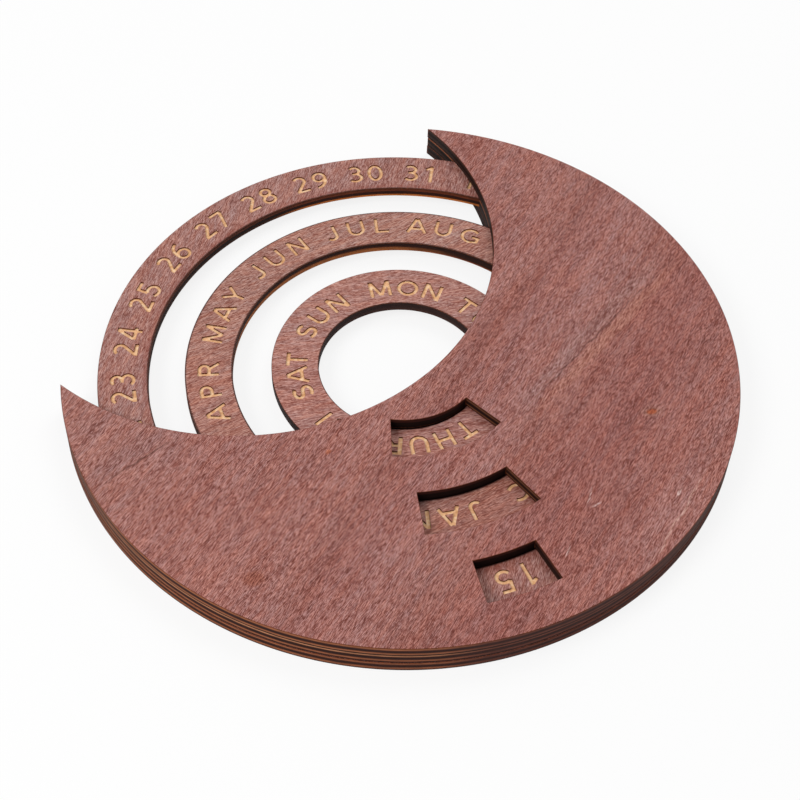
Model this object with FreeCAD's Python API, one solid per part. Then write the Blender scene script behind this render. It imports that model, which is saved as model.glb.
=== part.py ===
import FreeCAD, Part
import math
import os

# A flat perpetual calendar of laser-cut plywood. Three rings turn about one upright axis in the
# tracks of a crescent-shaped frame, which is three layers of the same sheet. The origin is on the
# rings' axis, at the underside. The windows face -Y, a little to the right.

# Sheet stock and clearances
sheet_thickness = 3.0
track_clearance = 0.3
ring_top_clearance = 0.2
cut_overrun = 1.0

# Rings and the finger gaps between them, from the axis outwards
weekday_ring_bore_radius = 20.35
weekday_ring_width = 11.55
inner_gap_width = 9.5
month_ring_width = 11.6
outer_gap_width = 8.9
date_ring_width = 12.2
rim_width = 8.4

# Round cut-away that turns the frame into a crescent
cutaway_radius = 64.5
cutaway_reach_past_axis = 8.15
cutaway_direction_deg = 138.05

# Windows of the front plate: how far the plate reaches over each ring's track at the window's
# inner and outer edge, and the angle of each corner
weekday_window_inner_lip = 0.05
weekday_window_outer_lip = 1.25
weekday_window_left_inner_deg = -95.9
weekday_window_left_outer_deg = -92.3
weekday_window_right_inner_deg = -38.1
weekday_window_right_outer_deg = -38.95
month_window_inner_lip = 0.2
month_window_outer_lip = 0.3
month_window_left_inner_deg = -83.45
month_window_left_outer_deg = -82.5
month_window_right_inner_deg = -52.15
month_window_right_outer_deg = -51.35
date_window_inner_lip = 0.1
date_window_outer_lip = 1.4
date_window_left_inner_deg = -73.45
date_window_left_outer_deg = -73.4
date_window_right_inner_deg = -59.05
date_window_right_outer_deg = -59.1

# Worked out from the above
weekday_ring_radius = weekday_ring_bore_radius + weekday_ring_width
month_ring_bore_radius = weekday_ring_radius + inner_gap_width
month_ring_radius = month_ring_bore_radius + month_ring_width
date_ring_bore_radius = month_ring_radius + outer_gap_width
date_ring_radius = date_ring_bore_radius + date_ring_width
frame_radius = date_ring_radius + rim_width
hub_radius = weekday_ring_bore_radius - track_clearance
inner_rail_bore_radius = weekday_ring_radius + track_clearance
inner_rail_radius = month_ring_bore_radius - track_clearance
outer_rail_bore_radius = month_ring_radius + track_clearance
outer_rail_radius = date_ring_bore_radius - track_clearance
rim_bore_radius = date_ring_radius + track_clearance
back_plate_z = 0
spacer_z = back_plate_z + sheet_thickness
front_plate_z = spacer_z + sheet_thickness
ring_thickness = sheet_thickness - ring_top_clearance
cutaway_offset = cutaway_radius - cutaway_reach_past_axis
up = FreeCAD.Vector(0, 0, 1)


def polar(radius, angle_deg, z):
    angle = math.radians(angle_deg)
    return FreeCAD.Vector(radius * math.cos(angle), radius * math.sin(angle), z)


def disc(radius, z, thickness):
    return Part.makeCylinder(radius, thickness, FreeCAD.Vector(0, 0, z), up)


def band(bore_radius, radius, z, thickness):
    bore = disc(bore_radius, z - cut_overrun, thickness + cut_overrun + cut_overrun)
    return disc(radius, z, thickness).cut(bore)


def cutaway(z, thickness):
    centre = polar(cutaway_offset, cutaway_direction_deg, z - cut_overrun)
    return Part.makeCylinder(cutaway_radius, thickness + cut_overrun + cut_overrun, centre, up)


def crescent(shape, z):
    return shape.cut(cutaway(z, sheet_thickness))


def window(inner_radius, outer_radius, left_inner_deg, left_outer_deg, right_inner_deg, right_outer_deg):
    z = front_plate_z - cut_overrun
    inner_middle_deg = (left_inner_deg + right_inner_deg) / 2
    outer_middle_deg = (left_outer_deg + right_outer_deg) / 2
    inner_left = polar(inner_radius, left_inner_deg, z)
    inner_right = polar(inner_radius, right_inner_deg, z)
    outer_left = polar(outer_radius, left_outer_deg, z)
    outer_right = polar(outer_radius, right_outer_deg, z)
    edges = [
        Part.Arc(inner_left, polar(inner_radius, inner_middle_deg, z), inner_right).toShape(),
        Part.LineSegment(inner_right, outer_right).toShape(),
        Part.Arc(outer_right, polar(outer_radius, outer_middle_deg, z), outer_left).toShape(),
        Part.LineSegment(outer_left, inner_left).toShape(),
    ]
    outline = Part.Face(Part.Wire(edges))
    return outline.extrude(up * (sheet_thickness + cut_overrun + cut_overrun))


def make_back_plate():
    return crescent(disc(frame_radius, back_plate_z, sheet_thickness), back_plate_z)


def make_front_plate():
    plate = crescent(disc(frame_radius, front_plate_z, sheet_thickness), front_plate_z)
    weekday_window = window(
        hub_radius + weekday_window_inner_lip,
        inner_rail_bore_radius - weekday_window_outer_lip,
        weekday_window_left_inner_deg,
        weekday_window_left_outer_deg,
        weekday_window_right_inner_deg,
        weekday_window_right_outer_deg,
    )
    month_window = window(
        inner_rail_radius + month_window_inner_lip,
        outer_rail_bore_radius - month_window_outer_lip,
        month_window_left_inner_deg,
        month_window_left_outer_deg,
        month_window_right_inner_deg,
        month_window_right_outer_deg,
    )
    date_window = window(
        outer_rail_radius + date_window_inner_lip,
        rim_bore_radius - date_window_outer_lip,
        date_window_left_inner_deg,
        date_window_left_outer_deg,
        date_window_right_inner_deg,
        date_window_right_outer_deg,
    )
    return plate.cut(weekday_window).cut(month_window).cut(date_window)


def make_rim_spacer():
    return crescent(band(rim_bore_radius, frame_radius, spacer_z, sheet_thickness), spacer_z)


def make_outer_rail_spacer():
    rail = band(outer_rail_bore_radius, outer_rail_radius, spacer_z, sheet_thickness)
    return crescent(rail, spacer_z)


def make_inner_rail_spacer():
    rail = band(inner_rail_bore_radius, inner_rail_radius, spacer_z, sheet_thickness)
    return crescent(rail, spacer_z)


def make_hub_spacer():
    return crescent(disc(hub_radius, spacer_z, sheet_thickness), spacer_z)


def make_weekday_ring():
    return band(weekday_ring_bore_radius, weekday_ring_radius, spacer_z, ring_thickness)


def make_month_ring():
    return band(month_ring_bore_radius, month_ring_radius, spacer_z, ring_thickness)


def make_date_ring():
    return band(date_ring_bore_radius, date_ring_radius, spacer_z, ring_thickness)


pieces = {
    "back_plate": make_back_plate(),
    "rim_spacer": make_rim_spacer(),
    "outer_rail_spacer": make_outer_rail_spacer(),
    "inner_rail_spacer": make_inner_rail_spacer(),
    "hub_spacer": make_hub_spacer(),
    "front_plate": make_front_plate(),
    "weekday_ring": make_weekday_ring(),
    "month_ring": make_month_ring(),
    "date_ring": make_date_ring(),
}
os.makedirs("parts", exist_ok=True)
for name, shape in pieces.items():
    shape.exportStep(f"parts/{name}.step")
    print(name, "solids", len(shape.Solids), "volume", round(shape.Volume), "valid", shape.isValid())
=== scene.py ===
import math
import bpy
from mathutils import Matrix, Vector


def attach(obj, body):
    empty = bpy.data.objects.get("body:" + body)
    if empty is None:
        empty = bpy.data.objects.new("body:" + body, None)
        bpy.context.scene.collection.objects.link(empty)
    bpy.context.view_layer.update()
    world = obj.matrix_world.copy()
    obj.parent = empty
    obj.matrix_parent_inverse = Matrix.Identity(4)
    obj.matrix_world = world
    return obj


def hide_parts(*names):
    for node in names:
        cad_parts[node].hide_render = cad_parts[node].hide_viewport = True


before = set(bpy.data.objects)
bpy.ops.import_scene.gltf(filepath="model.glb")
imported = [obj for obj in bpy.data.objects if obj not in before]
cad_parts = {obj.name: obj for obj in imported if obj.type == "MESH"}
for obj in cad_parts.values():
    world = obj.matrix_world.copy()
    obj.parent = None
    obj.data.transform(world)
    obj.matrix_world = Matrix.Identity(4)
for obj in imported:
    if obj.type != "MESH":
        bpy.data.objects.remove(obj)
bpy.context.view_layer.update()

# A perpetual calendar of stained plywood: three lettered rings turn in a crescent-shaped frame

mm = 0.001
perMm = 1 / mm      # turns metres into millimetres
print("frame loaded:", len(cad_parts), "nodes")


# Camera, floor and soft studio light

camera = {
    "target": (0.0, -6.71 * mm, 0.0),
    "elevation": 50.96,
    "roll": 2.31,
    "distance": 415.4 * mm,
    "focalLength": 75.98,
    "sensorWidth": 36.0,
    "clipStart": 10 * mm,
}
studio = {
    "floorSize": 6.0,
    "floorGap": 0.02 * mm,        # keeps the floor clear of the underside
    "contactReach": 0.5 * mm,     # rays shorter than this pass through it, so that the underside is lit
    "floorColor": (0.94, 0.94, 0.94, 1.0),
    "whiteShare": 0.84,           # what is plain white to the camera, while the rest takes shadow
    "skyStrength": 0.45,
    "lamps": {
        "keyLamp": {"place": (-0.55, -0.35, 0.70), "size": 0.50, "power": 4.3},
        "topLamp": {"place": (0.25, 0.45, 0.80), "size": 0.60, "power": 2.3},
    },
}


def addCamera():
    lens = bpy.data.cameras.new("photoCamera")
    lens.lens = camera["focalLength"]
    lens.sensor_width = camera["sensorWidth"]
    lens.clip_start = camera["clipStart"]
    view = bpy.data.objects.new("photoCamera", lens)
    bpy.context.scene.collection.objects.link(view)
    rise = math.radians(camera["elevation"])
    tilt = math.radians(camera["roll"])
    back = Vector((0, -math.cos(rise), math.sin(rise)))
    level = Vector((1, 0, 0))
    upright = back.cross(level)
    right = level * math.cos(tilt) + upright * math.sin(tilt)
    top = upright * math.cos(tilt) - level * math.sin(tilt)
    turn = Matrix((right, top, back)).transposed().to_4x4()
    place = Vector(camera["target"]) + back * camera["distance"]
    view.matrix_world = Matrix.Translation(place) @ turn
    bpy.context.scene.camera = view


# Small helpers for the material nodes

def newMaterial(name):
    material = bpy.data.materials.new(name)
    material.use_nodes = True
    material.node_tree.nodes.clear()
    return material, material.node_tree


def addNode(tree, kind, inputs=None, **settings):
    node = tree.nodes.new("ShaderNode" + kind)
    for name, value in settings.items():
        setattr(node, name, value)
    for name, value in (inputs or {}).items():
        if isinstance(value, bpy.types.NodeSocket):
            tree.links.new(value, node.inputs[name])
        else:
            node.inputs[name].default_value = value
    return node


def calc(tree, operation, first, second=0.0, third=0.0):
    return addNode(tree, "Math", {0: first, 1: second, 2: third}, operation=operation).outputs[0]


def vectorCalc(tree, operation, *inputs):
    node = addNode(tree, "VectorMath", dict(enumerate(inputs)), operation=operation)
    return node.outputs["Value" if operation in ("LENGTH", "DISTANCE", "DOT_PRODUCT") else "Vector"]


def stretched(tree, place, scale):
    return addNode(tree, "Mapping", {"Vector": place, "Scale": scale}).outputs[0]


def fade(tree, value, start, end, low=0.0, high=1.0):
    inputs = {"Value": value, "From Min": start, "From Max": end, "To Min": low, "To Max": high}
    return addNode(tree, "MapRange", inputs, interpolation_type="SMOOTHSTEP").outputs[0]


def noise(tree, place, scale, detail=2.0, roughness=0.5):
    inputs = {"Vector": place, "Scale": scale, "Detail": detail, "Roughness": roughness}
    return addNode(tree, "TexNoise", inputs).outputs[0]


def evenNoise(tree, place, scale, detail=2.0, roughness=0.5):      # noise on both sides of zero
    return calc(tree, "SUBTRACT", noise(tree, place, scale, detail, roughness), 0.5)


def mixColor(tree, factor, first, second, blend="MIX"):
    node = addNode(tree, "Mix", data_type="RGBA", blend_type=blend)
    for name, value in ((0, factor), (6, first), (7, second)):
        if isinstance(value, bpy.types.NodeSocket):
            tree.links.new(value, node.inputs[name])
        else:
            node.inputs[name].default_value = value
    return node.outputs[2]


def ramp(tree, value, stops):
    node = addNode(tree, "ValToRGB", {0: value})
    marks = node.color_ramp.elements
    while len(marks) < len(stops):
        marks.new(0.5)
    for mark, (position, color) in zip(marks, stops):
        mark.position = position
        mark.color = color
    return node.outputs[0]


def screenColor(red, green, blue):      # from the 0-255 numbers of a colour picker
    levels = []
    for value in (red, green, blue):
        share = value / 255
        levels.append(share / 12.92 if share <= 0.04045 else ((share + 0.055) / 1.055) ** 2.4)
    return (*levels, 1.0)


def finishMaterial(tree, color, look, height):
    inputs = {"Base Color": color, "Roughness": look["roughness"], "Specular IOR Level": look["specular"]}
    if look["bumpStrength"] > 0:
        bump = addNode(tree, "Bump", {"Height": height, "Strength": look["bumpStrength"],
                       "Distance": look["bumpDepth"]})
        inputs["Normal"] = bump.outputs[0]
    shader = addNode(tree, "BsdfPrincipled", inputs)
    addNode(tree, "OutputMaterial", {"Surface": shader.outputs[0]})


def paleFloor():
    paint, tree = newMaterial("paleFloor")
    matte = addNode(tree, "BsdfDiffuse", {"Color": studio["floorColor"]})
    plainWhite = addNode(tree, "Emission", {"Strength": 1.0})
    path = addNode(tree, "LightPath")
    seen = calc(tree, "MAXIMUM", path.outputs["Is Camera Ray"], path.outputs["Is Transmission Ray"])
    share = calc(tree, "MULTIPLY", seen, studio["whiteShare"])
    mixed = addNode(tree, "MixShader", {0: share, 1: matte.outputs[0], 2: plainWhite.outputs[0]})
    below = addNode(tree, "NewGeometry").outputs["Backfacing"]      # clear from there
    touching = calc(tree, "LESS_THAN", path.outputs["Ray Length"], studio["contactReach"])
    clear = addNode(tree, "BsdfTransparent")
    surface = addNode(tree, "MixShader", {0: calc(tree, "MAXIMUM", below, touching), 1: mixed.outputs[0],
                      2: clear.outputs[0]})
    addNode(tree, "OutputMaterial", {"Surface": surface.outputs[0]})
    return paint


def addFloor():
    bpy.ops.object.select_all(action="DESELECT")
    bpy.ops.mesh.primitive_plane_add(size=studio["floorSize"], location=(0, 0, -studio["floorGap"]))
    floor = bpy.context.object
    floor.name = "floor"
    floor.data.materials.append(paleFloor())


def addLight():
    for name, lamp in studio["lamps"].items():
        bpy.ops.object.light_add(type="AREA", location=lamp["place"])
        light = bpy.context.object
        light.name = name
        light.data.shape = "DISK"
        light.data.size = lamp["size"]
        light.data.energy = lamp["power"]
        light.rotation_euler = (-light.location).to_track_quat("-Z", "Y").to_euler()
    sky = bpy.data.worlds.new("studioSky")
    sky.use_nodes = True
    glow = sky.node_tree.nodes["Background"]
    glow.inputs["Color"].default_value = (1, 1, 1, 1)
    glow.inputs["Strength"].default_value = studio["skyStrength"]
    bpy.context.scene.world = sky
    bpy.context.scene.view_settings.view_transform = "Standard"


addCamera()
addFloor()
addLight()
print("camera and studio set")


# Sizes that the pieces share, the same as in the CAD part

sheets = {
    "thickness": 3.0 * mm,
    "sides": 720,                # of every circle
    "edgeChamfer": 0.10 * mm,
    "chamferFrom": 40,           # edges that turn by more degrees than this are chamfered
    "smoothBelow": 30,           # and those that turn by fewer are shaded smooth
    "weld": 0.01 * mm,
    "cutOverrun": 1.0 * mm,
    "frameRadius": 82.5 * mm,
    "cutawayRadius": 64.5 * mm,
    "cutawayReach": 8.15 * mm,
    "cutawayDirection": 138.05,
}
middleLayer = {"low": 3.0 * mm, "high": 6.0 * mm, "ringTop": 5.8 * mm}      # between the two plates


def polar(radius, angle):
    turn = math.radians(angle)
    return Vector((radius * math.cos(turn), radius * math.sin(turn), 0))


cutawayCentre = polar(sheets["cutawayRadius"] - sheets["cutawayReach"], sheets["cutawayDirection"]).to_2d()


# Materials of the stained plywood

frameStain = {
    "grainTurn": 62.0,
    "shift": (0.0, 0.0, 0.0),
    "darkGain": (0.48, 0.27, 0.22, 1.0),
    "paleGain": (1.70, 2.40, 2.60, 1.0),
    "flecks": [              # kind, size along and across the grain in millimetres, share of the tone
        ("cells", (0.85, 0.08), 1.35), ("dashes", (1.8, 0.13), 1.05), ("noise", (6.0, 0.4), 0.24),
        ("noise", (14.0, 1.2), 0.38), ("noise", (30.0, 3.5), 0.50),
    ],
    "hues": [                # the same for the tint, from grey to orange
        ("noise", (2.6, 0.8), 1.5), ("noise", (12.0, 2.0), 1.6), ("noise", (30.0, 6.0), 0.8),
    ],
    "greyTint": (0.93, 1.03, 1.09, 1.0),
    "orangeTint": (1.07, 0.98, 0.90, 1.0),
    "edges": [],             # radius, width in millimetres, share and colour of a burnt or heated line
    "wash": (0.99, 0.91, 0.90),      # what the bands' red, green and blue are multiplied by
    "marks": [               # place, half sizes, turn, share and colour of a streak, joint, knot or stain
        ((46.5, 10.6), (34.0, 2.3), 54.0, 0.45, (151, 107, 101)),
        ((51.0, 9.6), (36.0, 1.9), 54.0, 0.55, (164, 100, 83)),
        ((47.8, 8.9), (44.0, 0.22), 53.0, 0.65, (98, 55, 48)),
        ((64.5, -45.0), (17.5, 0.30), 61.0, 0.55, (184, 134, 120)),
        ((60.5, -43.0), (14.0, 2.2), 61.0, 0.30, (166, 110, 102)),
        ((59.9, -14.0), (3.4, 2.0), 10.0, 0.45, (166, 112, 100)),
        ((60.0, -14.2), (2.2, 1.5), 20.0, 0.80, (118, 60, 42)),
        ((60.0, -14.2), (1.45, 0.95), 20.0, 0.95, (168, 78, 46)),
        ((-16.3, -30.3), (1.0, 0.8), 60.0, 0.8, (170, 88, 60)),
        ((-30.6, -66.2), (3.2, 2.5), 20.0, 0.90, (139, 72, 56)),
        ((44.4, -40.0), (2.6, 0.28), 75.0, 0.50, (196, 158, 150)),
        ((45.6, -42.4), (1.5, 0.25), 40.0, 0.50, (196, 158, 150)),
        ((39.0, -55.6), (2.0, 0.30), 70.0, 0.50, (196, 158, 150)),
        ((65.3, -38.2), (1.3, 0.30), 50.0, 0.55, (200, 160, 150)),
        ((-59.8, -35.7), (12.7, 0.24), 42.8, 0.75, (104, 58, 49)),
        ((-62.0, -33.4), (12.7, 3.0), 42.8, 0.40, (138, 94, 90)),
    ],
    "bandStart": -60.0,      # millimetres across the grain
    "bandEnd": 90.0,
    "bands": [               # place across the grain and colour
        (-40, (154, 101, 92)), (-20, (154, 98, 89)), (-2, (153, 97, 88)), (9, (154, 98, 89)),
        (13, (149, 93, 84)), (16.5, (143, 86, 77)), (20, (150, 94, 86)), (28, (153, 98, 90)),
        (34, (151, 97, 89)), (39, (149, 91, 81)), (46, (147, 88, 79)), (54, (144, 85, 77)),
        (62, (147, 88, 79)), (70, (151, 92, 83)), (78, (155, 98, 89)),
    ],
}


veneerLook = {
    "roughness": 0.6,
    "specular": 0.3,
    "bumpStrength": 0.25,
    "bumpDepth": 0.03 * mm,
    "wavers": [              # how the bands waver: scale along and across, detail, roughness, millimetres
        ((0.012, 0.035), 2.0, 0.5, 14.0), ((0.05, 0.7), 4.0, 0.6, 9.0),
    ],
    "swayScale": 170.0,
    "sway": (2.0, -1.6, 0),      # how far the marks are drawn aside, in millimetres
    "raggedScale": 2500.0,
    "raggedShare": 0.7,          # how rough the outlines of marks and edge lines are
    "markFade": (0.45, 1.15),    # where they fade out, as shares of their half sizes
    "edgeFade": (0.45, 1.30),
}


def layeredTone(tree, grain, layers):
    total = 0.5
    for kind, (length, width), share in layers:
        place = stretched(tree, grain, (1 / length, 1 / width, 1))
        if kind == "cells":
            cell = addNode(tree, "TexVoronoi", {"Vector": place, "Scale": 1.0, "Randomness": 1.0})
            levels = addNode(tree, "SeparateColor", {0: cell.outputs["Color"]})
            tone = calc(tree, "SUBTRACT", levels.outputs[0], 0.5)
        else:
            tone = evenNoise(tree, place, 1.0, detail=0.0 if kind == "dashes" else 1.0)
        total = calc(tree, "MULTIPLY_ADD", tone, share, total)
    return total


def bandColor(tree, grain, stain):
    across = addNode(tree, "SeparateXYZ", {0: grain}).outputs[1]
    for scales, detail, roughness, size in veneerLook["wavers"]:
        waver = evenNoise(tree, stretched(tree, grain, (*scales, 1)), 1.0, detail, roughness)
        across = calc(tree, "MULTIPLY_ADD", waver, size, across)
    start = stain["bandStart"]
    reach = stain["bandEnd"] - start
    away = calc(tree, "SUBTRACT", calc(tree, "MULTIPLY", across, -1.0), start)
    stops = []
    for at, color in stain["bands"]:
        washed = [level * lift for level, lift in zip(screenColor(*color), stain["wash"])]
        stops.append(((at - start) / reach, (*washed, 1.0)))
    return ramp(tree, calc(tree, "DIVIDE", away, reach), stops)


def addMarks(tree, color, gain, place, flat, ragged, marks):
    sway = evenNoise(tree, place, veneerLook["swayScale"])
    swayed = vectorCalc(tree, "MULTIPLY_ADD", sway, veneerLook["sway"], flat)
    for (x, y), (halfLength, halfWidth), turn, strength, tint in marks:
        inside = addNode(tree, "Mapping", {"Vector": swayed, "Location": (x, y, 0),
                         "Rotation": (0, 0, math.radians(turn)), "Scale": (halfLength, halfWidth, 1)},
                         vector_type="TEXTURE").outputs[0]
        away = vectorCalc(tree, "LENGTH", inside)
        away = calc(tree, "MULTIPLY_ADD", ragged, veneerLook["raggedShare"], away)
        spot = fade(tree, away, *veneerLook["markFade"], strength, 0.0)
        color = mixColor(tree, spot, color, mixColor(tree, 1.0, screenColor(*tint), gain, "MULTIPLY"))
    return color


def addEdgeLines(tree, color, flat, ragged, edges):
    radius = vectorCalc(tree, "LENGTH", flat)
    fadeStart, fadeEnd = veneerLook["edgeFade"]
    for edgeRadius, width, strength, tint in edges:
        away = calc(tree, "ABSOLUTE", calc(tree, "SUBTRACT", radius, edgeRadius))
        away = calc(tree, "MULTIPLY_ADD", ragged, width * veneerLook["raggedShare"], away)
        burnt = fade(tree, away, width * fadeStart, width * fadeEnd, strength, 0.0)
        color = mixColor(tree, burnt, color, screenColor(*tint))
    return color


def stainedFace(name, stain):
    material, tree = newMaterial(name)
    place = addNode(tree, "TexCoord").outputs["Object"]
    turn = (0, 0, -math.radians(stain["grainTurn"]))
    grain = addNode(tree, "Mapping", {"Vector": place, "Rotation": turn, "Location": stain["shift"],
                    "Scale": (perMm, perMm, perMm)}).outputs[0]
    tone = layeredTone(tree, grain, stain["flecks"])
    hue = layeredTone(tree, grain, stain["hues"])
    gain = ramp(tree, tone, [(0.0, stain["darkGain"]), (0.5, (1, 1, 1, 1)), (1.0, stain["paleGain"])])
    tint = ramp(tree, hue, [(0.0, stain["greyTint"]), (1.0, stain["orangeTint"])])
    color = mixColor(tree, 1.0, bandColor(tree, grain, stain), tint, "MULTIPLY")
    color = mixColor(tree, 1.0, color, gain, "MULTIPLY")
    flat = vectorCalc(tree, "MULTIPLY", place, (perMm, perMm, 0))
    ragged = evenNoise(tree, place, veneerLook["raggedScale"], detail=1.0)
    color = addMarks(tree, color, gain, place, flat, ragged, stain["marks"])
    color = addEdgeLines(tree, color, flat, ragged, stain["edges"])
    finishMaterial(tree, color, veneerLook, tone)
    return material


# Materials of the cut edges and of the bare wood in the letters

frameProfile = [       # what shows at each height of the three sheets, in millimetres
    (0.0, "joint"), (0.4, "brown"), (0.7, "pale"), (1.0, "pale"), (1.3, "brown"), (1.5, "core"),
    (1.9, "core"), (2.25, "brown"), (2.55, "pale"), (2.8, "pale"), (3.0, "joint"), (3.35, "joint"),
    (3.55, "brown"), (3.8, "pale"), (4.05, "pale"), (4.3, "brown"), (4.55, "core"), (5.1, "core"),
    (5.4, "brown"), (5.6, "line"), (5.9, "line"), (6.05, "joint"), (6.4, "joint"), (6.65, "pale"),
    (6.95, "pale"), (7.2, "brown"), (7.45, "core"), (7.85, "core"), (8.2, "brown"), (8.4, "pale"),
    (8.75, "pale"), (9.0, "brown"),
]


def veneers(**tints):
    return [(height, tints[part]) for height, part in frameProfile]


def heightRamp(tree, height, stops):
    low, high = stops[0][0], stops[-1][0]
    share = calc(tree, "DIVIDE", calc(tree, "SUBTRACT", height, low * mm), (high - low) * mm)
    return ramp(tree, share, [((at - low) / (high - low), screenColor(*tint)) for at, tint in stops])


edgeLook = {
    "roughness": 0.6,
    "specular": 0.12,
    "bumpStrength": 0.5,
    "bumpDepth": 0.05 * mm,
    "wobbleScale": 110.0,
    "wobble": 0.30 * mm,                  # how far the plies' lines rise and fall
    "patchScale": 45.0,                   # the painted reflection ends in patches
    "charScale": (300, 300, 6000),
    "charShades": [(0.32, (0.62, 0.60, 0.58, 1.0)), (0.68, (1.38, 1.38, 1.36, 1.0))],
    "paintedLightSide": (-0.80, -0.60, 0),       # the way towards the light; walls facing it, the windows' right walls, get painted light
    "paintedLightFrom": (0.7, 0.95),
    "paintedLightRadii": (57 * mm, 60 * mm),     # from the first to the second the painted light turns faint
    "faintShare": 0.2,
    "cutMargin": 0.5 * mm,                # how near the cut-away and the rim a wall still is one of theirs
    "rimMargin": 0.4 * mm,
}


def innerWalls(tree, texture, flat, height, edge):      # nearly black, with painted light as pale ply lines on the windows' right walls
    burnt = heightRamp(tree, height, edge["cutLook"])
    # the windows' walls are near black
    nearBlack = heightRamp(tree, height, edge["windowLook"])
    litPlies = heightRamp(tree, height, edge["windowPaintedLight"])
    # painted light: walls that face the light's way get the lit plies, fainter further out
    side = vectorCalc(tree, "DOT_PRODUCT", texture.outputs["Normal"], edgeLook["paintedLightSide"])
    radius = vectorCalc(tree, "LENGTH", flat)
    strength = fade(tree, radius, *edgeLook["paintedLightRadii"], 1.0, edgeLook["faintShare"])
    lines = fade(tree, side, *edgeLook["paintedLightFrom"], 0.0, strength)
    fromCut = vectorCalc(tree, "DISTANCE", flat, (*cutawayCentre, 0))
    inWindow = calc(tree, "GREATER_THAN", fromCut, sheets["cutawayRadius"] + edgeLook["cutMargin"])
    return mixColor(tree, inWindow, burnt, mixColor(tree, lines, nearBlack, litPlies))


def plyEdge(name, edge):
    material, tree = newMaterial(name)
    texture = addNode(tree, "TexCoord")
    place = texture.outputs["Object"]
    flat = vectorCalc(tree, "MULTIPLY", place, (1, 1, 0))
    wobble = noise(tree, place, edgeLook["wobbleScale"], detail=3.0)
    lift = calc(tree, "MULTIPLY_ADD", wobble, edgeLook["wobble"], -edgeLook["wobble"] / 2)
    height = calc(tree, "ADD", addNode(tree, "SeparateXYZ", {0: place}).outputs[2], lift)
    # Painted reflection: on one side round the axis the plies take a lighter, lit copy of their colours
    outward = vectorCalc(tree, "NORMALIZE", flat)
    reflectionFacing = vectorCalc(tree, "DOT_PRODUCT", outward, polar(1.0, edge["paintedReflectionAt"]))
    patch = evenNoise(tree, place, edgeLook["patchScale"])
    reflectionFacing = calc(tree, "MULTIPLY_ADD", patch, edge["patchiness"], reflectionFacing)
    dull = heightRamp(tree, height, edge["dull"])
    paintedReflection = heightRamp(tree, height, edge["paintedReflection"])
    color = mixColor(tree, fade(tree, reflectionFacing, *edge["paintedReflectionFrom"]), dull, paintedReflection)
    if "cutLook" in edge:
        inner = innerWalls(tree, texture, flat, height, edge)
        radius = vectorCalc(tree, "LENGTH", flat)
        onRim = calc(tree, "GREATER_THAN", radius, sheets["frameRadius"] - edgeLook["rimMargin"])
        color = mixColor(tree, onRim, inner, color)
    char = noise(tree, stretched(tree, place, edgeLook["charScale"]), 1.0, detail=3.0, roughness=0.6)
    shade = ramp(tree, char, edgeLook["charShades"])
    color = mixColor(tree, 1.0, color, shade, "MULTIPLY")
    finishMaterial(tree, color, edgeLook, char)
    return material


bareWoods = {
    "engravedWood": {
        "grainScale": 900.0, "detail": 3.0,
        "colors": [(0.3, (212, 154, 104)), (0.5, (240, 186, 138)), (0.7, (254, 220, 180))],
        "roughness": 0.7, "specular": 0.2, "bumpStrength": 0.6, "bumpDepth": 0.08 * mm,
    },
    "scorchedWood": {
        "grainScale": 1200.0, "detail": 2.0,
        "colors": [(0.3, (66, 27, 13)), (0.7, (124, 62, 32))],
        "roughness": 0.75, "specular": 0.2, "bumpStrength": 0.0,
    },
}


def bareWood(name):
    wood = bareWoods[name]
    material, tree = newMaterial(name)
    place = addNode(tree, "TexCoord").outputs["Object"]
    grains = noise(tree, place, wood["grainScale"], wood["detail"], roughness=0.6)
    color = ramp(tree, grains, [(share, screenColor(*tint)) for share, tint in wood["colors"]])
    finishMaterial(tree, color, wood, grains)
    return material


rimEdge = {       # colours by height in millimetres
    "dull": veneers(joint=(36, 16, 12), brown=(78, 40, 31), core=(52, 24, 19), pale=(98, 53, 41),
                    line=(110, 61, 46)),
    # painted reflection: a lit copy of the plies on the rim's lower left
    "paintedReflection": veneers(joint=(30, 10, 5), brown=(84, 41, 25), core=(40, 12, 5), pale=(156, 94, 61),
                      line=(184, 126, 90)),
    "paintedReflectionAt": -124.0,           # where the painted reflection sits round the rim, in degrees
    "paintedReflectionFrom": (0.55, 1.0),    # and how far round it goes, as cosines
    "patchiness": 0.5,
    "cutLook": veneers(joint=(18, 11, 9), brown=(44, 26, 21), core=(26, 15, 12), pale=(56, 36, 30),
                       line=(140, 84, 58)),      # walls of the cut-away
    "windowLook": [(6.0, (22, 12, 10)), (7.9, (25, 14, 12)), (8.15, (62, 29, 25)), (9.0, (56, 27, 23))],
    "windowPaintedLight": [              # painted light: lit plies on the windows' right walls, which face the light
        (6.0, (40, 20, 15)), (6.45, (44, 22, 16)), (6.6, (122, 77, 53)), (6.85, (122, 77, 53)),
        (7.0, (40, 20, 15)), (8.0, (36, 18, 13)), (8.2, (112, 72, 50)), (8.5, (108, 68, 48)),
        (8.7, (46, 23, 17)), (9.0, (44, 22, 17)),
    ],
}
frameFace = stainedFace("frameVeneer", frameStain)
frameEdge = plyEdge("framePlyEdge", rimEdge)
letterFloor = bareWood("engravedWood")
scorch = bareWood("scorchedWood")
print("materials made")


# Modelling helpers

def pickOnly(piece):
    bpy.ops.object.select_all(action="DESELECT")
    piece.select_set(True)
    bpy.context.view_layer.objects.active = piece


def applyModifier(piece, kind, **settings):
    pickOnly(piece)
    bpy.ops.object.modifier_add(type=kind)
    modifier = piece.modifiers[-1]
    for name, value in settings.items():
        setattr(modifier, name, value)
    bpy.ops.object.modifier_apply(modifier=modifier.name)


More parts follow.
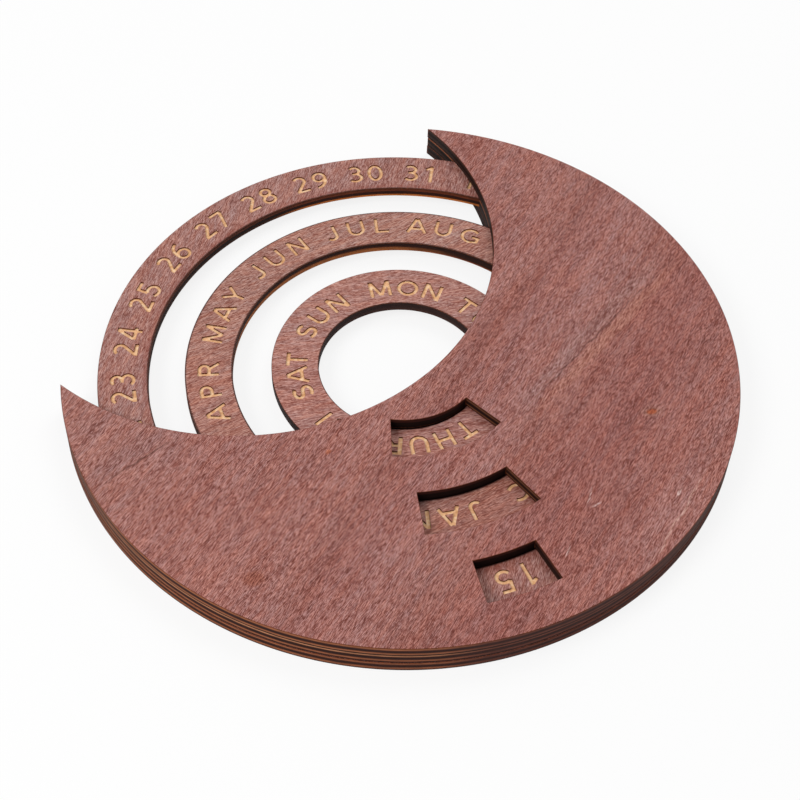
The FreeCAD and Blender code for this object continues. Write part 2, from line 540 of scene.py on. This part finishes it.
def addDisc(name, radius, low, high, centre=(0, 0)):
    bpy.ops.object.select_all(action="DESELECT")
    bpy.ops.mesh.primitive_cylinder_add(vertices=sheets["sides"], radius=radius, depth=high - low,
                                        location=(*centre, (low + high) / 2))
    disc = bpy.context.object
    disc.name = name
    bpy.ops.object.transform_apply(location=True, rotation=True, scale=True)
    return disc


def isLevel(face):
    return abs(face.normal.z) > 0.5


def selectFaces(piece, wanted):
    bpy.ops.object.mode_set(mode="EDIT")
    bpy.ops.mesh.select_mode(type="FACE")
    bpy.ops.mesh.select_all(action="DESELECT")
    bpy.ops.object.mode_set(mode="OBJECT")
    for face in piece.data.polygons:
        face.select = wanted(face)
    bpy.ops.object.mode_set(mode="EDIT")


def addBand(name, inner, outer, low, high):
    band = addDisc(name, outer, low, high)
    selectFaces(band, isLevel)
    bpy.ops.mesh.inset(thickness=outer - inner, depth=0)
    bpy.ops.mesh.bridge_edge_loops()
    bpy.ops.object.mode_set(mode="OBJECT")
    return band


def cutWith(piece, cutter, **settings):
    applyModifier(piece, "BOOLEAN", object=cutter, operation="DIFFERENCE", solver="EXACT", **settings)
    bpy.data.objects.remove(cutter)


def cutCrescent(piece, low, high):
    overrun = sheets["cutOverrun"]
    cutWith(piece, addDisc("cutter", sheets["cutawayRadius"], low - overrun, high + overrun, cutawayCentre))


windowCut = {"margin": 2, "stepsPerDegree": 2, "weld": 0.001 * mm}      # margin in degrees


def addOpening(opening, low, high):      # a sector, swept round the axis and trimmed to the corners
    inner, outer = opening["inner"], opening["outer"]
    first, last = min(opening["left"]) - windowCut["margin"], max(opening["right"]) + windowCut["margin"]
    bpy.ops.object.select_all(action="DESELECT")
    bpy.ops.mesh.primitive_plane_add(size=1, location=((inner + outer) / 2, 0, (low + high) / 2),
                                     rotation=(math.radians(90), 0, 0))
    sector = bpy.context.object
    bpy.ops.transform.resize(value=(outer - inner, 1, high - low))
    bpy.ops.object.transform_apply(location=True, rotation=True, scale=True)
    bpy.ops.object.mode_set(mode="EDIT")
    bpy.ops.mesh.select_all(action="SELECT")
    bpy.ops.mesh.spin(steps=round((last - first) * windowCut["stepsPerDegree"]),
                      angle=math.radians(first - last), center=(0, 0, 0), axis=(0, 0, 1))
    bpy.ops.mesh.select_all(action="SELECT")
    bpy.ops.mesh.remove_doubles(threshold=windowCut["weld"])
    bpy.ops.mesh.normals_make_consistent(inside=False)
    bpy.ops.object.mode_set(mode="OBJECT")
    sector.matrix_world = Matrix.Rotation(math.radians(first), 4, "Z")
    bpy.ops.object.transform_apply(location=True, rotation=True, scale=True)
    bpy.ops.object.mode_set(mode="EDIT")
    for side, (innerAngle, outerAngle) in ((1, opening["left"]), (-1, opening["right"])):
        corner = polar(inner, innerAngle)
        along = polar(outer, outerAngle) - corner
        outward = Vector((along.y * side, -along.x * side, 0)).normalized()
        bpy.ops.mesh.select_all(action="SELECT")
        bpy.ops.mesh.bisect(plane_co=corner, plane_no=outward, threshold=windowCut["weld"],
                            use_fill=True, clear_outer=True)
    bpy.ops.object.mode_set(mode="OBJECT")
    return sector


def finishSheet(piece, face, edge):
    pickOnly(piece)
    piece.data.materials.clear()
    for material in (face, edge, scorch):
        piece.data.materials.append(material)
    selectFaces(piece, lambda side: True)
    bpy.ops.mesh.remove_doubles(threshold=sheets["weld"])
    bpy.ops.object.mode_set(mode="OBJECT")
    for side in piece.data.polygons:
        side.material_index = 0 if isLevel(side) else 1
    applyModifier(piece, "BEVEL", width=sheets["edgeChamfer"], segments=1, limit_method="ANGLE",
                  angle_limit=math.radians(sheets["chamferFrom"]), use_clamp_overlap=False, material=2)


def finishPiece(piece, body, node):
    pickOnly(piece)
    bpy.ops.object.shade_smooth_by_angle(angle=math.radians(sheets["smoothBelow"]))
    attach(piece, body)
    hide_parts(node)


# Frame: back plate, spacers and front plate

plates = {
    "backPlate": {"low": 0.0, "node": "back_plate"},
    "frontPlate": {"low": middleLayer["high"], "node": "front_plate"},
}
windows = {       # radii, and the angles of the corners at each end, inner one first
    "weekday": {"inner": 20.10 * mm, "outer": 30.95 * mm,
                "left": (-95.90, -92.30), "right": (-38.10, -38.95)},
    "month": {"inner": 41.30 * mm, "outer": 53.00 * mm,
              "left": (-83.45, -82.50), "right": (-52.15, -51.35)},
    "date": {"inner": 61.70 * mm, "outer": 73.00 * mm,
             "left": (-73.45, -73.40), "right": (-59.05, -59.10)},
}
spacers = {
    "rimSpacer": {"inner": 74.40 * mm, "outer": 82.40 * mm, "node": "rim_spacer"},
    "outerRailSpacer": {"inner": 53.30 * mm, "outer": 61.60 * mm, "node": "outer_rail_spacer"},
    "innerRailSpacer": {"inner": 32.20 * mm, "outer": 41.10 * mm, "node": "inner_rail_spacer"},
    "hubSpacer": {"inner": 0.0, "outer": 20.05 * mm, "node": "hub_spacer"},
}


def addPlates():
    overrun = sheets["cutOverrun"]
    for name, plate in plates.items():
        low = plate["low"]
        high = low + sheets["thickness"]
        sheet = addDisc(name, sheets["frameRadius"], low, high)
        cutCrescent(sheet, low, high)
        if name == "frontPlate":
            for opening in windows.values():
                cutWith(sheet, addOpening(opening, low - overrun, high + overrun))
        finishSheet(sheet, frameFace, frameEdge)
        finishPiece(sheet, "frame", plate["node"])


def addSpacers():
    low, high = middleLayer["low"], middleLayer["high"]
    for name, spacer in spacers.items():
        if spacer["inner"] > 0:
            piece = addBand(name, spacer["inner"], spacer["outer"], low, high)
        else:
            piece = addDisc(name, spacer["outer"], low, high)
        cutCrescent(piece, low, high)
        finishSheet(piece, frameFace, frameEdge)
        finishPiece(piece, "frame", spacer["node"])


addPlates()
addSpacers()
print("frame sheets modelled")


# Lettering: each stroke is a line of points, or of arcs given as centre, radii, start and end angle

lettering = {
    "arcStep": 15,           # degrees
    "depth": 0.40 * mm,
}
strokes = {       # width and strokes, as shares of the letter's height
    "A": (1.02, [[(0.07, 0), (0.49, 1)], [(0.95, 0), (0.53, 1)], [(0.2, 0.3), (0.82, 0.3)]]),
    "B": (0.74, [[(0.09, 0), (0.09, 1)],
                 [(0.09, 0.91), (0.37, 0.725, 0.2, 0.185, 90, -90), (0.09, 0.54)],
                 [(0.3, 0.54), (0.39, 0.315, 0.26, 0.225, 90, -90), (0.09, 0.09)]]),
    "C": (0.94, [[(0.51, 0.5, 0.42, 0.41, 46, 314)]]),
    "D": (0.88, [[(0.09, 0), (0.09, 1)],
                 [(0.09, 0.91), (0.37, 0.5, 0.42, 0.41, 90, -90), (0.09, 0.09)]]),
    "E": (0.68, [[(0.66, 0.09), (0.09, 0.09), (0.09, 0.91), (0.64, 0.91)],
                 [(0.09, 0.52), (0.58, 0.52)]]),
    "F": (0.64, [[(0.09, 0), (0.09, 0.91), (0.62, 0.91)], [(0.09, 0.48), (0.56, 0.48)]]),
    "G": (1.02, [[(0.51, 0.5, 0.42, 0.41, 46, 300), (0.9, 0.2), (0.9, 0.46), (0.58, 0.46)]]),
    "H": (0.84, [[(0.09, 0), (0.09, 1)], [(0.75, 0), (0.75, 1)], [(0.09, 0.52), (0.75, 0.52)]]),
    "I": (0.18, [[(0.09, 0), (0.09, 1)]]),
    "J": (0.62, [[(0.53, 1), (0.29, 0.30, 0.24, 0.21, 0, -150)]]),
    "L": (0.72, [[(0.09, 1), (0.09, 0.09), (0.71, 0.09)]]),
    "M": (1.05, [[(0.09, 0), (0.09, 1)], [(0.96, 0), (0.96, 1)],
                 [(0.12, 0.95), (0.525, 0.08)], [(0.93, 0.95), (0.525, 0.08)]]),
    "N": (0.88, [[(0.09, 0), (0.09, 1)], [(0.79, 0), (0.79, 1)], [(0.11, 0.95), (0.77, 0.05)]]),
    "O": (1.04, [[(0.52, 0.5, 0.43, 0.41, 0, 360)]]),
    "P": (0.74, [[(0.09, 0), (0.09, 1)],
                 [(0.09, 0.91), (0.4, 0.675, 0.24, 0.235, 90, -90), (0.09, 0.44)]]),
    "R": (0.82, [[(0.09, 0), (0.09, 1)],
                 [(0.09, 0.91), (0.4, 0.69, 0.23, 0.22, 90, -90), (0.09, 0.47)],
                 [(0.42, 0.46), (0.76, 0)]]),
    "S": (0.78, [[(0.39, 0.705, 0.27, 0.205, 28, 240), (0.4, 0.295, 0.29, 0.205, 60, -150)]]),
    "T": (0.8, [[(0, 0.91), (0.8, 0.91)], [(0.4, 0), (0.4, 0.91)]]),
    "U": (0.88, [[(0.09, 1), (0.44, 0.42, 0.35, 0.33, 180, 360), (0.79, 1)]]),
    "V": (0.92, [[(0.07, 1), (0.46, 0.04)], [(0.85, 1), (0.46, 0.04)]]),
    "W": (1.34, [[(0.07, 1), (0.36, 0.05)], [(0.67, 0.95), (0.36, 0.05)],
                 [(0.67, 0.95), (0.98, 0.05)], [(1.27, 1), (0.98, 0.05)]]),
    "Y": (0.9, [[(0.06, 1), (0.45, 0.44)], [(0.84, 1), (0.45, 0.44)], [(0.45, 0.48), (0.45, 0)]]),
    "0": (0.68, [[(0.34, 0.5, 0.26, 0.42, 0, 360)]]),
    "1": (0.53, [[(0.26, 0), (0.26, 1)], [(0.02, 0.77), (0.26, 0.92)]]),
    "2": (0.66, [[(0.315, 0.695, 0.235, 0.225, 150, -25), (0.1, 0.1)], [(0.04, 0.08), (0.64, 0.08)]]),
    "3": (0.64, [[(0.3, 0.725, 0.22, 0.195, 145, -90), (0.19, 0.53)],
                 [(0.19, 0.53), (0.3, 0.305, 0.265, 0.225, 90, -145)]]),
    "4": (0.68, [[(0.45, 0.98), (0.06, 0.28)], [(0.03, 0.265), (0.66, 0.265)], [(0.48, 0), (0.48, 1)]]),
    "5": (0.62, [[(0.57, 0.92), (0.15, 0.92), (0.12, 0.48)], [(0.29, 0.315, 0.265, 0.235, 132, -150)]]),
    "6": (0.66, [[(0.335, 0.32, 0.25, 0.24, 0, 360)], [(0.5, 0.37, 0.415, 0.55, 180, 85)]]),
    "7": (0.64, [[(0.03, 0.92), (0.61, 0.92)], [(0.57, 0.9), (0.22, 0)]]),
    "8": (0.66, [[(0.33, 0.735, 0.21, 0.185, 0, 360)], [(0.33, 0.3, 0.25, 0.22, 0, 360)]]),
    "9": (0.66, [[(0.325, 0.68, 0.25, 0.24, 0, 360)], [(0.16, 0.63, 0.415, 0.55, 0, -95)]]),
}


def strokeLine(stroke):
    line = []
    closed = False
    for part in stroke:
        if len(part) == 2:
            line.append(part)
            continue
        x, y, wide, tall, start, end = part
        count = max(2, round(abs(end - start) / lettering["arcStep"]))
        for step in range(count + 1):
            turn = math.radians(start + (end - start) * step / count)
            line.append((x + wide * math.cos(turn), y + tall * math.sin(turn)))
        closed = abs(end - start) == 360
    return (line[:-1], True) if closed else (line, False)


def addLetter(character, ring, low, high):
    width, lines = strokes[character]
    size = ring["height"]
    drawing = bpy.data.curves.new("letter" + character, "CURVE")
    drawing.dimensions = "3D"
    drawing.extrude = (high - low) / 2
    for stroke in lines:
        points, closed = strokeLine(stroke)
        spline = drawing.splines.new("POLY")
        spline.points.add(len(points) - 1)
        for point, (x, y) in zip(spline.points, points):
            point.co = ((x - width / 2) * size, y * size, 0, 1)
        spline.use_cyclic_u = closed
    letter = bpy.data.objects.new("letter" + character, drawing)
    bpy.context.scene.collection.objects.link(letter)
    pickOnly(letter)
    bpy.ops.object.convert(target="MESH")
    letter = bpy.context.object
    applyModifier(letter, "SOLIDIFY", thickness=ring["stroke"], offset=0, use_even_offset=True)
    selectFaces(letter, lambda face: True)
    bpy.ops.mesh.normals_make_consistent(inside=False)
    bpy.ops.object.mode_set(mode="OBJECT")
    letter.data.transform(Matrix.Translation((0, 0, (low + high) / 2)))
    return letter


def addLettering(words, ring, low, high):
    samples = {}
    copies = []
    toCentre = Matrix.Translation((*ring["centre"], 0))
    toBaseline = Matrix.Translation((0, ring["baseline"], 0))
    for word, angles in words:
        for character, angle in zip(word, angles):
            if character not in samples:
                samples[character] = addLetter(character, ring, low, high)
            copy = samples[character].copy()
            copy.data = samples[character].data.copy()
            bpy.context.scene.collection.objects.link(copy)
            copy.data.transform(toCentre @ Matrix.Rotation(math.radians(angle - 90), 4, "Z") @ toBaseline)
            copies.append(copy)
    for sample in samples.values():
        bpy.data.objects.remove(sample)
    bpy.ops.object.select_all(action="DESELECT")
    for copy in copies:
        copy.select_set(True)
    bpy.context.view_layer.objects.active = copies[0]
    bpy.ops.object.join()
    cutter = bpy.context.object
    cutter.data.materials.clear()
    for material in (letterFloor, scorch):
        cutter.data.materials.append(material)
    for face in cutter.data.polygons:
        face.material_index = 0 if isLevel(face) else 1
    return cutter


# Rings

ringStain = {
    **frameStain,
    "marks": [],
    "flecks": [
        ("cells", (0.85, 0.08), 1.08), ("dashes", (1.8, 0.13), 0.84), ("noise", (6.0, 0.4), 0.22),
        ("noise", (14.0, 1.2), 0.32), ("noise", (30.0, 3.5), 0.38),
    ],
}
# Each ring's edge has a painted reflection: a lit copy of its plies on one side.
# Edge colours go by height in millimetres. Each ring's height, stroke, baseline and centre are those of
# its lettering, and each letter's angle is that of its middle.
rings = {
    "weekdayRing": {
        "stain": {**ringStain, "grainTurn": 14.0, "shift": (310.0, 22.0, 0.0), "wash": (1.18, 1.20, 1.17),
                  "edges": [(31.9, 0.15, 0.5, (60, 34, 30)), (20.35, 0.25, 0.8, (48, 26, 22))]},
        "edge": {"dull": [(3.0, (52, 32, 30)), (4.2, (42, 26, 25)), (5.8, (46, 28, 27))],
                 "paintedReflection": [(3.0, (74, 44, 36)), (4.2, (50, 30, 27)), (5.0, (44, 25, 22)),
                            (5.8, (54, 32, 29))],
                 "paintedReflectionAt": 90.0, "paintedReflectionFrom": (0.2, 0.9), "patchiness": 0.6},
        "inner": 20.35 * mm, "outer": 31.90 * mm, "body": "weekday_dial", "node": "weekday_ring",
        "height": 5.28 * mm, "stroke": 1.00 * mm, "baseline": 22.76 * mm, "centre": (-0.30 * mm, 0.12 * mm),
        "words": [
            ("SAT", (203.8, 191.0, 179.9)), ("SUN", (158.4, 144.7, 130.6)), ("MON", (103.6, 87.5, 73.1)),
            ("TUE", (51.2, 37.4, 25.0)), ("WED", (0.2, -15.1, -28.2)),
            ("THUR", (-50.4, -63.7, -78.0, -92.1)), ("FRI", (-111.3, -123.3, -134.3)),
        ],
    },
    "monthRing": {
        "stain": {**ringStain, "grainTurn": 32.0, "shift": (520.0, 5.0, 0.0), "wash": (1.15, 1.18, 1.10),
                  "edges": [(53.0, 0.38, 0.85, (52, 26, 22)), (41.4, 0.40, 0.9, (48, 24, 20))]},
        "edge": {"dull": [(3.0, (150, 77, 36)), (3.4, (130, 64, 30)), (3.65, (54, 25, 15)),
                          (5.8, (40, 20, 15))],
                 "paintedReflection": [(3.0, (178, 106, 58)), (4.2, (160, 92, 48)), (4.5, (72, 34, 18)),
                            (4.9, (50, 22, 14)), (5.8, (44, 20, 14))],
                 "paintedReflectionAt": 128.0, "paintedReflectionFrom": (0.45, 1.0), "patchiness": 0.7},
        "inner": 41.40 * mm, "outer": 53.00 * mm, "body": "month_dial", "node": "month_ring",
        "height": 5.28 * mm, "stroke": 0.95 * mm, "baseline": 44.75 * mm, "centre": (0.04 * mm, 0.68 * mm),
        "words": [
            ("JAN", (-66.8, -74.7, -83.2)), ("FEB", (263.0, 255.2, 247.2)), ("MAR", (233.7, 225.0, 216.6)),
            ("APR", (203.0, 194.2, 185.8)), ("MAY", (171.8, 162.7, 155.1)), ("JUN", (143.5, 135.3, 126.6)),
            ("JUL", (114.7, 106.5, 98.2)), ("AUG", (86.9, 78.4, 69.3)), ("SEP", (55.2, 47.4, 39.4)),
            ("OCT", (25.4, 16.4, 8.0)), ("NOV", (-5.1, -13.8, -22.4)), ("DEC", (-36.3, -44.7, -53.3)),
        ],
    },
    "dateRing": {
        "stain": {**ringStain, "grainTurn": 76.0, "shift": (130.0, 60.0, 0.0), "wash": (1.05, 1.06, 1.05),
                  "edges": [(61.9, 1.6, 0.35, (138, 66, 50)), (74.1, 0.15, 0.5, (70, 40, 34)),
                            (61.9, 0.38, 0.9, (52, 24, 20))]},
        "edge": {"dull": [(3.0, (64, 34, 22)), (3.6, (72, 37, 23)), (3.85, (34, 16, 10)),
                          (4.7, (30, 14, 10)), (4.9, (96, 46, 26)), (5.3, (84, 40, 24)),
                          (5.6, (44, 22, 16)), (5.8, (38, 20, 15))],
                 "paintedReflection": [(3.0, (200, 116, 52)), (3.6, (196, 110, 48)), (3.85, (60, 24, 12)),
                            (4.7, (44, 17, 10)), (4.9, (110, 52, 28)), (5.5, (100, 47, 26)),
                            (5.65, (46, 21, 14)), (5.8, (40, 20, 15))],
                 "paintedReflectionAt": 84.0, "paintedReflectionFrom": (0.72, 0.97), "patchiness": 0.35},
        "inner": 61.90 * mm, "outer": 74.10 * mm, "body": "date_dial", "node": "date_ring",
        "height": 6.27 * mm, "stroke": 0.98 * mm, "baseline": 64.45 * mm, "centre": (-0.48 * mm, 0.45 * mm),
        "dates": 31,
        "digitStep": 4.62,       # degrees between the two digits of a number
        "runs": [                # first number, its angle, and the step to the next one
            (1, 75.1, 8.4), (10, -1.2, 12.86), (15, -65.5, 13.05), (23, -169.95, 12.9),
        ],
    },
}


def dateWords(ring):
    words = []
    runs = ring["runs"]
    for run, (first, angle, step) in enumerate(runs):
        end = runs[run + 1][0] if run + 1 < len(runs) else ring["dates"] + 1
        for number in range(first, end):
            centre = angle - step * (number - first)
            half = ring["digitStep"] / 2
            words.append((str(number), (centre,) if number < 10 else (centre + half, centre - half)))
    return words


def addRings():
    low, high = middleLayer["low"], middleLayer["ringTop"]
    for name, ring in rings.items():
        piece = addBand(name, ring["inner"], ring["outer"], low, high)
        face = stainedFace(name + "Veneer", ring["stain"])
        edge = plyEdge(name + "PlyEdge", ring["edge"])
        finishSheet(piece, face, edge)
        words = dateWords(ring) if "runs" in ring else ring["words"]
        cutter = addLettering(words, ring, high - lettering["depth"], high + lettering["depth"])
        cutWith(piece, cutter, use_self=True, material_mode="TRANSFER")
        finishPiece(piece, ring["body"], ring["node"])
        print(name, "made:", len(piece.data.polygons), "faces")


addRings()
